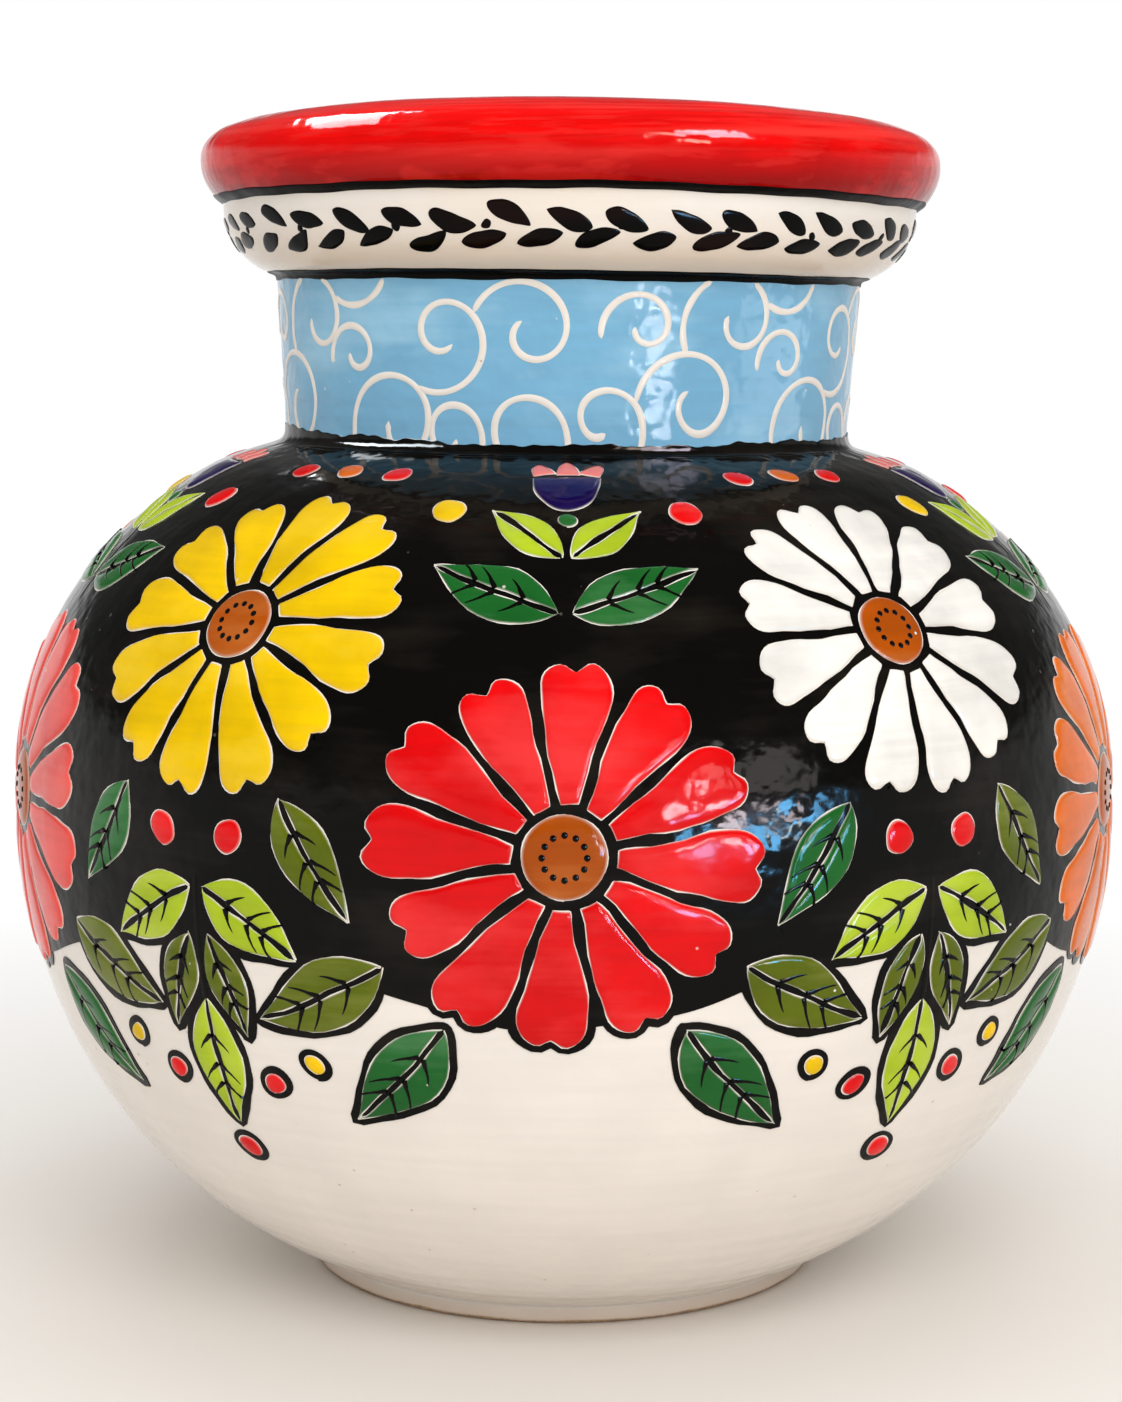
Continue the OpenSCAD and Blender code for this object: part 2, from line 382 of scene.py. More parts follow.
FOOT_INNER_R = FOOT_R - FOOT_W
FLOOR_Z = BOWL_Z + FLOOR_T
INNER_STEP = 4
FLAT_STEP = 6
SHOULDER_IN_R = SHOULDER_R - WALL
BASE_IN_R = BASE_R - WALL
BORE_ANGLE = degrees(acos((NECK_BORE_R - SHOULDER_C[0]) / SHOULDER_IN_R))
FLOOR_ANGLE = degrees(asin((FLOOR_Z - BASE_C[1]) / BASE_IN_R))
BODY_CUT_Z = polar(SHOULDER_C, SHOULDER_R, neck_touch)[1] - WALL / 4
HUB_R = 0.5
BULGE_IN_R = RIM_BULGE_R - WALL
BULGE_IN_ANGLE = -degrees(acos((COLLAR_R - WALL - BULGE_X) / BULGE_IN_R))

FOOT_INSIDE = chain([
    [(FOOT_INNER_R, FOOT_TOP_Z)],
    arc((FOOT_INNER_R + FOOT_ROUND, FOOT_ROUND), FOOT_ROUND, 180, 270, FINE),
])
BODY_UNDERSIDE = chain([
    line((HUB_R, BOWL_Z), (FOOT_INNER_R, BOWL_Z), FLAT_STEP),
    [(FOOT_INNER_R, FOOT_TOP_Z)],
])
BODY_INSIDE = chain([
    [(NECK_BORE_R, BODY_CUT_Z)],
    arc(SHOULDER_C, SHOULDER_IN_R, BORE_ANGLE, UP_SWEEP, INNER_STEP),
    arc(UP_C, UP_R - WALL, UP_SWEEP, 0, INNER_STEP),
    arc(LOW_C, LOW_R - WALL, 0, -LOW_SWEEP, INNER_STEP),
    arc(BASE_C, BASE_IN_R, -LOW_SWEEP, FLOOR_ANGLE, INNER_STEP),
    line((FOOT_R, FLOOR_Z), (HUB_R, FLOOR_Z), FLAT_STEP),
])
NECK_INSIDE = chain([
    [(NECK_TOP_R - WALL, COLLAR_FOOT_Z)],
    line((NECK_TOP_R - WALL, NECK_TOP_Z), (NECK_BORE_R, FLARE_Z), INNER_STEP),
    [(NECK_BORE_R, BODY_CUT_Z)],
])
COLLAR_INSIDE = chain([
    [(COLLAR_R - WALL, RIM_FOOT_Z)],
    arc(COLLAR_C, COLLAR_ARC_R - WALL, 0, -90, 1),
    [(NECK_TOP_R - WALL, COLLAR_Z + WALL)],
    [(NECK_TOP_R - WALL, COLLAR_FOOT_Z)],
])
RIM_INSIDE = chain([
    arc(CROWN_C, RIM_CROWN_R - WALL, LIP_ANGLE, RIM_CROWN_TILT, 1),
    arc(BULGE_C, BULGE_IN_R, RIM_CROWN_TILT, BULGE_IN_ANGLE, 0.6),
    [(COLLAR_R - WALL, RIM_FOOT_Z)],
])


# Materials: painted glazes, brushed round the pot, mottled, and paler where they thin out
def linear(rgb):
    """Scene colour of an sRGB colour given in 0 to 255."""
    parts = [c / 255 for c in rgb]
    return [c / 12.92 if c <= 0.04045 else ((c + 0.055) / 1.055) ** 2.4 for c in parts] + [1]


def scaled(rgb, share):
    return [min(255, c * share) for c in rgb]


class Nodes:
    """Short forms for building the node tree of a material or a sky."""

    def __init__(self, owner):
        owner.use_nodes = True
        self.owner = owner
        self.tree = owner.node_tree
        self.shader = self.tree.nodes.get("Principled BSDF")
        self.where = self.add("TexCoord")
        self.place = self.where["Object"]

    def feed(self, socket, value):
        """Links an input to another node's output, or sets it."""
        if isinstance(value, bpy.types.NodeSocket):
            self.tree.links.new(value, socket)
        else:
            socket.default_value = value

    def add(self, kind, inputs=None, operation=None):
        """Outputs of a new node with these inputs."""
        node = self.tree.nodes.new("ShaderNode" + kind)
        if operation:
            node.operation = operation
        for key, value in (inputs or {}).items():
            self.feed(node.inputs[key], value)
        return node.outputs

    def finish(self, colour, roughness, normal):
        """Feeds the shader's main inputs and returns the material."""
        for name, value in (("Base Color", colour), ("Roughness", roughness), ("Normal", normal)):
            self.feed(self.shader.inputs[name], value)
        return self.owner

    def scale(self, factors):
        """Object coordinates scaled by axis, in waves per metre."""
        return self.add("VectorMath", {0: self.place, 1: factors}, "MULTIPLY")[0]

    def parts(self, vector):
        return self.add("SeparateXYZ", {0: vector})

    def length(self, vector):
        return self.add("VectorMath", {0: vector}, "LENGTH")["Value"]

    def brushed(self, round_the_pot, along_the_wall, lathe):
        """Object coordinates stretched along brush strokes round the pot. With lathe they follow the wall
        over a crown."""
        x, y, level = self.parts(self.scale((round_the_pot, round_the_pot, along_the_wall)))
        if lathe:
            reach = self.length(self.scale((along_the_wall, along_the_wall, 0)))
            level = self.math("SUBTRACT", level, reach)
        return self.add("CombineXYZ", {"X": x, "Y": y, "Z": level})[0]

    def noise(self, scale, detail=2.0, where=None):
        inputs = {"Vector": where or self.place, "Scale": scale, "Detail": detail}
        return self.add("TexNoise", inputs)["Fac"]

    def attribute(self, name):
        node = self.tree.nodes.new("ShaderNodeAttribute")
        node.attribute_name = name
        return node.outputs["Fac"]

    def remap(self, value, low, high, new_low=0.0, new_high=1.0):
        inputs = {"Value": value, "From Min": low, "From Max": high, "To Min": new_low, "To Max": new_high}
        return self.add("MapRange", inputs)["Result"]

    def math(self, operation, a, b):
        return self.add("Math", {0: a, 1: b}, operation)[0]

    def mix(self, factor, first, second):
        """Colours mixed by a factor; a colour is a socket or a scene colour."""
        node = self.tree.nodes.new("ShaderNodeMix")
        node.data_type = "RGBA"
        self.feed(node.inputs["Factor"], factor)
        sockets = [socket for socket in node.inputs if socket.type == "RGBA"]
        for socket, value in zip(sockets, (first, second)):
            self.feed(socket, value)
        return [socket for socket in node.outputs if socket.type == "RGBA"][0]

    def bump(self, height, distance, strength=1.0, before=None):
        inputs = {"Height": height, "Distance": distance, "Strength": strength}
        if before:
            inputs["Normal"] = before
        return self.add("Bump", inputs)["Normal"]

    def background_rays(self):
        """1 for rays that look at the background: from the camera, or mirrored or seen through."""
        rays = self.add("LightPath")
        seen = self.math("MAXIMUM", rays["Is Camera Ray"], rays["Is Glossy Ray"])
        return self.math("MAXIMUM", seen, rays["Is Transmission Ray"])


def new_material(name):
    return Nodes(bpy.data.materials.new(name))


# Marks in a glaze, in waves per metre: round the pot and along its wall, or alike both ways
STREAKS = (14, 330)
CLOUDS = (22, 46)
LATHE_CLOUDS = (9, 190)
# Size of the ragged patches of painted reflection on the rim
REFLECTION_PATCHES = (55, 330)
BLOTCHES = 38
SWELLS = 55
RIPPLES = 170
GRAIN = 260
PINHOLES = 105
PINHOLE_PATCHES = 60
GLOSS_PATCHES = 90
# Depths of its unevenness, in metres
SWELL_DEPTH = 0.0011
GRAIN_DEPTH = 0.00012
PINHOLE_DEPTH = 0.0003


def glaze(name, rgb, deep=0.8, pale=None, streaks=0.5, specks=None, roughness=0.1, shine=0.18, cloud=None,
          painted_shade=None, painted_reflection=None, lathe=False, ripple=0.0003):
    """Glossy painted glaze. deep: share of its colour where it pools. pale: its colour where it thins at an
    edge. streaks: weight of brush marks. specks: colour of pinholes. cloud: colour of wiped patches.
    painted_shade: the heights between which painted shade darkens it towards the bottom, and the shade's
    colour. painted_reflection: colour of small ragged patches of painted reflection. lathe: whether it was
    brushed on as the pot turned. ripple: depth of its small unevenness."""
    nodes = new_material(name + "_glaze")
    pool = linear(scaled(rgb, deep))
    blotch = nodes.remap(nodes.noise(BLOTCHES, 4), 0.35, 0.7)
    colour = nodes.mix(nodes.math("MULTIPLY", blotch, 0.55), linear(rgb), pool)
    brush = nodes.noise(1, 4, nodes.brushed(*STREAKS, lathe))
    colour = nodes.mix(nodes.remap(brush, 0.42, 0.72, 0, streaks), colour, pool)
    if cloud:
        wiped = nodes.noise(1, 5, nodes.brushed(*(LATHE_CLOUDS if lathe else CLOUDS), lathe))
        wiped = nodes.math("ADD", wiped, nodes.remap(brush, 0.3, 0.7, -0.06, 0.06))
        colour = nodes.mix(nodes.remap(wiped, 0.5, 0.72, 0, 0.75), colour, linear(cloud))
    # Painted shade: colour darkened from a given height downwards, standing in for shade on a
    # downward-facing curve.
    if painted_shade:
        low, high, shade_colour = painted_shade
        shade_share = nodes.remap(nodes.parts(nodes.place)["Z"], low, high, 0.9, 0)
        colour = nodes.mix(shade_share, colour, linear(shade_colour))
    # Painted reflection: small ragged, lighter pinkish patches laid over the colour.
    if painted_reflection:
        reflection_patch = nodes.noise(1, 6, nodes.brushed(*REFLECTION_PATCHES, lathe))
        colour = nodes.mix(nodes.remap(reflection_patch, 0.5, 0.6, 0, 0.38), colour, linear(painted_reflection))
    if pale:
        thin = nodes.remap(nodes.attribute("glaze"), 0.0, 0.5, 0.42, 0)
        colour = nodes.mix(thin, colour, linear(pale))
    normal = nodes.bump(nodes.noise(SWELLS, 1), SWELL_DEPTH, 0.35)
    normal = nodes.bump(nodes.noise(RIPPLES, 1), ripple, 0.5, normal)
    normal = nodes.bump(nodes.noise(GRAIN), GRAIN_DEPTH, 0.5, normal)
    if specks:
        spread = nodes.add("TexVoronoi", {"Vector": nodes.place, "Scale": PINHOLES})["Distance"]
        pin = nodes.remap(spread, 0.035, 0.06, 1, 0)
        pin = nodes.math("MULTIPLY", pin, nodes.remap(nodes.noise(PINHOLE_PATCHES, 0), 0.5, 0.56))
        colour = nodes.mix(pin, colour, linear(specks))
        normal = nodes.bump(nodes.math("SUBTRACT", 1.0, pin), PINHOLE_DEPTH, 0.6, normal)
    nodes.shader.inputs["Specular IOR Level"].default_value = shine
    gloss = nodes.remap(nodes.noise(GLOSS_PATCHES), 0.3, 0.7, roughness * 0.75, roughness * 1.4)
    return nodes.finish(colour, gloss, normal)


CREAM = (239, 231, 222)
BARE_CLAY = (186, 154, 122)
LOW_FOOT_CREAM = (208, 178, 148)
CREAM_COAT = {"deep": 0.95, "streaks": 0.4, "specks": (212, 196, 178), "roughness": 0.11}
CREAM_GLAZE = glaze("cream", CREAM, **CREAM_COAT)
# The collar's lower rounding is tinted warm tan from its foot upwards: painted shade with painted warm
# reflected light.
COLLAR_GLAZE = glaze("collar", CREAM, **CREAM_COAT, cloud=(235, 221, 205),
                     painted_shade=((COLLAR_Z + 1) * MM, (COLLAR_Z + 16) * MM, (236, 216, 194)))
BLUE_GLAZE = glaze("blue", (123, 181, 215), 0.92, specks=(205, 222, 230),
                   cloud=(158, 206, 232), ripple=0.0009)
# The rim's lower roll is painted deeper red as painted shade, and its small pinkish patches are painted
# reflection.
RED_RIM_GLAZE = glaze("red_rim", (239, 11, 9), 0.78, streaks=0.7, roughness=0.08, shine=0.09,
                      cloud=(246, 58, 50), painted_shade=(0.3365, 0.347, (148, 7, 6)), painted_reflection=(226, 46, 40),
                      lathe=True, ripple=0.00045)
BLACK_GLAZE = glaze("black", (11, 10, 8), 0.7, specks=(76, 72, 66), shine=0.08,
                    cloud=(33, 29, 24), ripple=0.0005)
LINE_GLAZE = glaze("line", (10, 9, 8), 0.8, streaks=0.4, roughness=0.3, shine=0.04)
LAUREL_GLAZE = glaze("laurel", (9, 8, 7), 0.7, streaks=0.4, roughness=0.12, shine=0.05,
                     cloud=(30, 14, 11))


def foot_glaze():
    """Cream glaze that stops in an uneven line above the bare, sandy standing edge."""
    nodes = new_material("foot_glaze")
    height = nodes.parts(nodes.place)["Z"]
    edge = nodes.math("ADD", height, nodes.remap(nodes.noise(70, 3), 0, 1, -0.0009, 0.0009))
    glazed = nodes.remap(edge, 0.0010, 0.0016)
    grain = nodes.noise(900, 4)
    clay = nodes.mix(nodes.remap(grain, 0.35, 0.65), linear(BARE_CLAY), linear(scaled(BARE_CLAY, 0.8)))
    thin = nodes.remap(nodes.noise(40, 3), 0.3, 0.7, 0, 0.6)
    cream = nodes.mix(thin, linear(CREAM), linear(scaled(CREAM, 0.93)))
    # The cream turns darker and warmer towards the standing edge.
    cream = nodes.mix(nodes.remap(edge, 0.0012, 0.0065, 0.55, 0.1), cream, linear(LOW_FOOT_CREAM))
    sand = nodes.math("MULTIPLY", grain, nodes.math("SUBTRACT", 1.0, glazed))
    return nodes.finish(nodes.mix(glazed, clay, cream), nodes.remap(glazed, 0, 1, 0.85, 0.12),
                        nodes.bump(sand, 0.0003))


def add_shells():
    """Adds the five glazed sections and returns them by zone."""
    pieces = {}
    shells = [
        ("foot", FOOT_INSIDE, (), "foot_clay", foot_glaze(), ["foot_ring", "foot_luting"]),
        ("body", BODY_INSIDE, BODY_UNDERSIDE, "bowl_glaze", CREAM_GLAZE,
         ["lower_bowl", "belly_luting", "upper_bowl"]),
        ("neck", NECK_INSIDE, (), "neck_glaze", BLUE_GLAZE, ["neck_luting", "neck", "collar_luting"]),
        ("collar", COLLAR_INSIDE, (), "collar_glaze", COLLAR_GLAZE, ["collar"]),
        ("rim", RIM_INSIDE, (), "rim_glaze", RED_RIM_GLAZE, ["rim_luting", "rim_roll"]),
    ]
    for zone, inside, before, slot, material, nodes in shells:
        points, faces, skin = make_shell(zone, inside, before)
        pieces[zone] = make_piece("glazed_" + zone, points, faces, [material, CREAM_GLAZE])
        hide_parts(*nodes)
        if zone == "neck":
            within = [int(max(face) >= skin) for face in faces]
            pieces[zone].data.polygons.foreach_set("material_index", within)
    return pieces


SHELLS = add_shells()


# Painting: closed patches of raised glaze on the skin, drawn in flat millimetres round a point
SINK = 0.4
TIP = 0.15
ACROSS = np.array([-1, -0.94, -0.8, -0.45, 0, 0.45, 0.8, 0.94, 1])
HALF_ACROSS = np.array([0, 0.06, 0.25, 0.55, 0.8, 0.94, 1])
LINE_ACROSS = np.array([-1, -0.6, 0, 0.6, 1])


def pairs(across, up):
    """Flat points from their places across and up."""
    return np.stack(np.broadcast_arrays(across, up), axis=-1)


def stations(count):
    """Places from 0 to 1 along a spine, closer together towards its ends."""
    return (1 - np.cos(np.linspace(0, pi, count))) / 2


def loft(spine, half, across=ACROSS):
    """Grid of flat points: half widths laid across a spine, from its left to its right."""
    along = np.gradient(spine, axis=0)
    along /= np.linalg.norm(along, axis=1)[:, None]
    right = pairs(along[:, 1], -along[:, 0])
    half = np.maximum(half, TIP)
    return spine[:, None] + np.atleast_2d(across)[..., None] * (half[:, None] * right)[:, None]


def moved(grid, turn, to=(0, 0)):
    """The grid turned clockwise about its origin, then shifted."""
    c, s = cos(turn), sin(turn)
    u = grid[..., 0] * c + grid[..., 1] * s + to[0]
    v = grid[..., 1] * c - grid[..., 0] * s + to[1]
    return pairs(u, v)


def by_hand(grid, amount=0.4, wave=24):
    """The grid with the slight waver of a hand-drawn shape."""
    a, b, c, d = rng.uniform(0, TURN, 4)
    u, v = grid[..., 0] * TURN / wave, grid[..., 1] * TURN / wave
    du = np.sin(v + a) + 0.3 * np.sin(2.3 * v + c)
    dv = np.sin(u + b) + 0.3 * np.sin(2.3 * u + d)
    return grid + amount * pairs(du, dv)


def border(rows, cols):
    """Indices of a grid's outer points, clockwise from its first point."""
    index = np.arange(rows * cols).reshape(rows, cols)
    return np.concatenate([index[:, 0], index[-1, 1:], index[-2::-1, -1], index[0, -2:0:-1]])


def grown(grid, by, uneven):
    """The grid with its border moved outwards by an uneven distance."""
    flat = grid.reshape(-1, 2).copy()
    ring = border(*grid.shape[:2])
    along = np.roll(flat[ring], -1, axis=0) - np.roll(flat[ring], 1, axis=0)
    out = pairs(-along[:, 1], along[:, 0])
    run = np.cumsum(np.linalg.norm(along, axis=1)) / 2
    a, b = rng.uniform(0, TURN, 2)
    reach = by * (1 + uneven * (np.sin(run / 4.1 + a) + 0.7 * np.sin(run / 1.7 + b)))
    flat[ring] += np.maximum(reach, -0.1)[:, None] * out / np.linalg.norm(out, axis=1)[:, None]
    return flat.reshape(grid.shape)


def edge_distance(grid):
    """How far each point of a grid lies inside the grid's border."""
    flat = grid.reshape(-1, 2)
    edge = flat[border(*grid.shape[:2])]
    step = np.roll(edge, -1, axis=0) - edge
    to_point = flat[:, None] - edge[None]
    share = (to_point * step).sum(axis=2) / np.maximum((step ** 2).sum(axis=1), 1e-9)
    nearest = np.clip(share, 0, 1)[..., None] * step
    return np.linalg.norm(to_point - nearest, axis=2).min(axis=1).reshape(grid.shape[:2])


def place_at(s0, phi0):
    """Maps flat points, right and up, to the skin round a point, so that shapes keep their form."""
    r0, _, _, tilt = outline_at(s0)

    def to_skin(flat):
        s = s0 + flat[..., 1] - tilt / (2 * r0) * flat[..., 0] ** 2
        return s, phi0 + flat[..., 0] / np.interp(s, OUTLINE_S, OUTLINE[:, 0])

    return to_skin


def rise(inset, bead):
    """Rounded shoulder of a glaze patch: 0 at its edge, 1 from one bead width inwards."""
    return np.sqrt(1 - (1 - np.minimum(inset / bead, 1)) ** 2)


BAND_SEGMENTS = 512
BAND_PHI = np.arange(BAND_SEGMENTS) * TURN / BAND_SEGMENTS
BAND_MARGINS = np.array([0, 0.12, 0.45, 1])


class Paint:
    """Glaze patches of one colour, gathered into one piece."""

    def __init__(self, name, slot, material):
        self.name, self.slot, self.material = "painting_" + name, slot, material
        self.points, self.depth, self.faces = [], [], []
        self.count = 0

    def add(self, points, depth, faces):
        self.points.append(points)
        self.depth.append(depth)
        self.faces += [[self.count + i for i in face] for face in faces]
        self.count += len(points)

    def patch(self, grid, place, base, height, bead):
        """One closed patch over a grid: its domed top, the skirt round it and its sunk underside."""
        rows, cols = grid.shape[:2]
        depth = rise(edge_distance(grid), bead)
        s, phi = place(grid)
        ring = border(rows, cols)
        top = on_skin(s, phi, base + height * depth).reshape(-1, 3)
        skirt = on_skin(s.ravel()[ring], phi.ravel()[ring], -SINK)
        index = np.arange(rows * cols).reshape(rows, cols)
        faces = np.stack([index[:-1, :-1], index[:-1, 1:], index[1:, 1:], index[1:, :-1]], axis=-1)
        faces = faces.reshape(-1, 4).tolist()
        low = rows * cols + np.arange(len(ring))
        faces += np.stack([ring, np.roll(ring, -1), np.roll(low, -1), low], axis=1).tolist()
        left = low[:rows]
        right = low[rows + cols - 2:][:rows][::-1]
        for i in range(rows - 1):
            over = low[rows:rows + cols - 2].tolist() if i == rows - 2 else []
            under = low[2 * rows + cols - 2:].tolist() if i == 0 else []
            faces.append([left[i], left[i + 1], *over, right[i + 1], right[i], *under])
        self.add(np.concatenate([top, skirt]), np.concatenate([depth.ravel(), np.zeros(len(ring))]), faces)

    def band(self, low, high, base, height, bead, step=2.5):
        """A band right round the vase between two lines, each one arc length per BAND_PHI."""
        width = high - low
        count = max(2, int((width.max() - 2 * bead) / step) + 1)
        margins = bead * BAND_MARGINS
        inner = [bead + (width - 2 * bead) * k / count for k in range(1, count)]
        insets = [m + 0 * width for m in margins] + inner + [width - m for m in margins[::-1]]
        depth = [rise(np.minimum(i, width - i), bead) for i in insets]
        tops = [on_skin(low + i, BAND_PHI, base + height * d) for i, d in zip(insets, depth)]
        bottoms = [on_skin(low + i, BAND_PHI, -SINK) for i in [insets[0], *insets[4:-4:3], insets[-1]]]
        points, faces = revolve(np.array(tops + bottoms[::-1]), True)
        self.add(points, np.concatenate(depth + [0 * width] * len(bottoms)), faces)

    def build(self):
        piece = make_piece(self.name, np.concatenate(self.points), self.faces, [self.material])
        glaze_depth = piece.data.attributes.new("glaze", "FLOAT", "POINT")
        glaze_depth.data.foreach_set("value", np.concatenate(self.depth))
        return piece


# Colours of the painting
PALE_EDGE = (250, 240, 228)
PINHOLE = (235, 228, 214)
COLOURS = {
    "coral": (246, 84, 76),
    "red": (234, 8, 12),
    "yellow": (248, 202, 3),
    "white": (247, 243, 236),
    "orange": (234, 110, 24),
    "amber": (180, 80, 5),
    "green": (26, 100, 38),
    "olive": (94, 107, 8),
    "lime": (180, 204, 38),
    "purple": (17, 2, 68),
    "pink": (246, 122, 116),
}
THIN_SHARE = 0.22


def thinned(rgb):
    """Colour of a thin coat, with the pale ground showing through."""
    return [c + THIN_SHARE * (p - c) for c, p in zip(rgb, PALE_EDGE)]


PAINTS = {
    name: Paint(name, "shoulder_glaze", glaze(name, rgb, 0.77, PALE_EDGE, streaks=0.3, specks=PINHOLE,
                                              shine=0.15, cloud=thinned(rgb)))
    for name, rgb in COLOURS.items()
}
GROUND = Paint("black_ground", "shoulder_glaze", BLACK_GLAZE)
OUTLINES = Paint("black_outlines", "shoulder_glaze", BLACK_GLAZE)
NECK_LINE = Paint("neck_line", "shoulder_glaze", BLACK_GLAZE)
GAPS = Paint("pale_gaps", "bowl_glaze", CREAM_GLAZE)
LINES = Paint("black_lines", "collar_glaze", LINE_GLAZE)
LAUREL = Paint("laurel", "collar_glaze", LAUREL_GLAZE)
SCROLLS = Paint("scrolls", "neck_glaze", CREAM_GLAZE)

# Coats of glaze in millimetres: lift of the edge off the skin, height of the dome and width of its shoulder
GROUND_COAT = (0.22, 0.08, 1.2)
NECK_LINE_COAT = (0.25, 0.10, 0.8)
OUTLINE_COAT = (0.30, 0.05, 0.8)
STEM_HALF = 1.1
STEM_COAT = (0.30, 0.12, STEM_HALF)
GAP_COAT = (0.38, 0.04, 0.4)
COLOUR_LIFT = 0.40
COLOUR_H = 0.75
COLOUR_BEAD = 2.2
VEIN_COAT = (1.00, 0.20, 0.4)
SEED_COAT = (1.35, 0.30, 0.7)
LINE_COAT = (0.10, 0.20, 0.6)
LAUREL_COAT = (0.06, 0.25, 1.2)
LAUREL_DOT_COAT = (0.06, 0.25, 0.8)
SCROLL_COAT = (0.05, 0.20, 0.6)
OUTLINE_W = 2.3
OUTLINE_UNEVEN = 0.1
GAP_W = 0.14
GAP_UNEVEN = 1.2


def underlay(grid, place, outline=OUTLINE_W):
    """Black outline under a shape."""
    OUTLINES.patch(grown(grid, outline, OUTLINE_UNEVEN), place, *OUTLINE_COAT)


def colour_in(colour, grid, place, height=COLOUR_H, bead=COLOUR_BEAD):
    """Raised colour with a thin, uneven pale gap round it."""
    GAPS.patch(grown(grid[:, ::2], GAP_W, GAP_UNEVEN), place, *GAP_COAT)
    PAINTS[colour].patch(grid, place, COLOUR_LIFT, height, bead)


def disc(r, rows=15):
    t = stations(rows)
    return loft(pairs(0, r * (2 * t - 1)), r * np.sqrt(1 - (2 * t - 1) ** 2))


def berry(colour, r, place, at):
    shape = moved(by_hand(disc(r), 0.3, 14), 0, at)
    underlay(shape[:, ::2], place, OUTLINE_W * 0.9)
    colour_in(colour, shape, place, 0.9, r * 0.9)


PETAL_COUNT = 12
# Places from 0 to 1 along a petal, closer together at its foot and towards its tip
PETAL_T = np.concatenate([[0, 0.012, 0.04], 1 - (1 - np.linspace(0.05, 1, 18)) ** 2.2])
PETAL_GAP = 2.9
NOTCH = 3.2
NOTCH_W = 2.6
EYE_SHARE = 0.21
EYE_GAP = 2.6
EYE_OUTLINE = 3
SEED_COUNT = 12
SEED_R = 0.9
SEED_RING = 0.52


def petal(r_in, r_out):
    """Petal that fills its share of a round flower, with a rounded, notched tip."""
    reach = r_in + (r_out - r_in) * PETAL_T
    half = (reach * tan(pi / PETAL_COUNT) - PETAL_GAP / 2) * np.sqrt(1 - PETAL_T ** 7)
    grid = loft(pairs(0, reach), half)
    grid[..., 1] -= NOTCH * np.exp(-(grid[..., 0] / NOTCH_W) ** 2) * PETAL_T[:, None] ** 8
    return grid


def rosette(colour, r_out, place):
    """Round flower with notched petals about a domed eye ringed with seeds."""
    eye_r = EYE_SHARE * r_out
    turn0 = rng.uniform(0, TURN / PETAL_COUNT)
    for k in range(PETAL_COUNT):
        shape = petal(eye_r + EYE_GAP, r_out * rng.uniform(0.93, 1.02))
        shape = moved(by_hand(shape), turn0 + k * TURN / PETAL_COUNT)
        underlay(shape[:, ::2], place)
        colour_in(colour, shape, place)
    underlay(disc(eye_r)[:, ::2], place, EYE_OUTLINE)
    colour_in("amber", disc(eye_r, 19), place, 1.0, eye_r * 0.5)
    for k in range(SEED_COUNT):
        a = k * TURN / SEED_COUNT
        at = SEED_RING * eye_r * np.array([sin(a), cos(a)])
        OUTLINES.patch(moved(disc(SEED_R, 9), 0, at)[:, ::2], place, *SEED_COAT)


RIB_HALF = 0.95
VEINS = (0.3, 0.5, 0.68)
VEIN_HALF = 0.7


def add_leaf(colour, length, width, place, turn, at, bend=0.0, veins=True):
    """Almond-shaped leaf in two raised halves with a dark rib between them and fine veins across them."""
    t = stations(21)
    spine = pairs(bend * length * t ** 2, length * t)
    half = width / 2 * np.sin(pi * t ** 0.82)
    turn = radians(turn)
    underlay(moved(loft(spine, half, LINE_ACROSS), turn, at), place)
    inner = np.clip(RIB_HALF / np.maximum(half, TIP), 0, 0.6)[:, None]
    right = inner + (1 - inner) * HALF_ACROSS
    for across in (right, -right[:, ::-1]):
        colour_in(colour, moved(by_hand(loft(spine, half, across), 0.25), turn, at), place)
    for share in VEINS if veins else ():
        i = int(np.argmin(np.abs(spine[:, 1] - share * length)))
        for side in (-1, 1):
            start = spine[i] + np.array([0.8 * RIB_HALF * side, 0])
            end = spine[i] + half[i] * np.array([0.72 * side, 0.66])
            t = stations(11)[:, None]
            path = start * (1 - t) + end * t + 0.06 * half[i] * np.array([side, 0]) * np.sin(pi * t)
            vein = loft(path, VEIN_HALF * np.sqrt(1 - t[:, 0] ** 1.5), LINE_ACROSS)
            OUTLINES.patch(moved(vein, turn, at), place, *VEIN_COAT)


def stem(points, place):
    """Black brush line along a smooth path through flat points."""
    half = STEM_HALF * np.sqrt(1 - np.linspace(-1, 1, len(points)) ** 8)
    OUTLINES.patch(loft(points, half, LINE_ACROSS), place, *STEM_COAT)


STALK_R = 2.6
CUP_FOOT = 4
CUP_L = 17
CUP_HALF = 9.5
LOBE_FOOT = CUP_L + 5.8
LOBE_L = 10
LOBE_HALF = 3.2


def bud(place, at):
    """Opening bud: a rounded purple cup with three pointed pink petals and a green stalk end."""
    t = stations(17)
    cup = loft(pairs(0, CUP_FOOT + CUP_L * t), CUP_HALF * np.sqrt(1 - (1 - t) ** 2.3))
    shapes = [("purple", cup), ("green", disc(STALK_R))]
    lobe_half = LOBE_HALF * (1 - t) ** 0.6 * (1 + 0.5 * t)
    for side in (-1, 0, 1):
        lobe = loft(pairs(0, (LOBE_L - 2 * abs(side)) * t), lobe_half)
        shapes.append(("pink", moved(lobe, 0.3 * side, (0.66 * CUP_HALF * side, LOBE_FOOT))))
    for colour, shape in shapes:
        shape = moved(by_hand(shape, 0.25), 0, at)
        underlay(shape[:, ::2], place)
        colour_in(colour, shape, place)


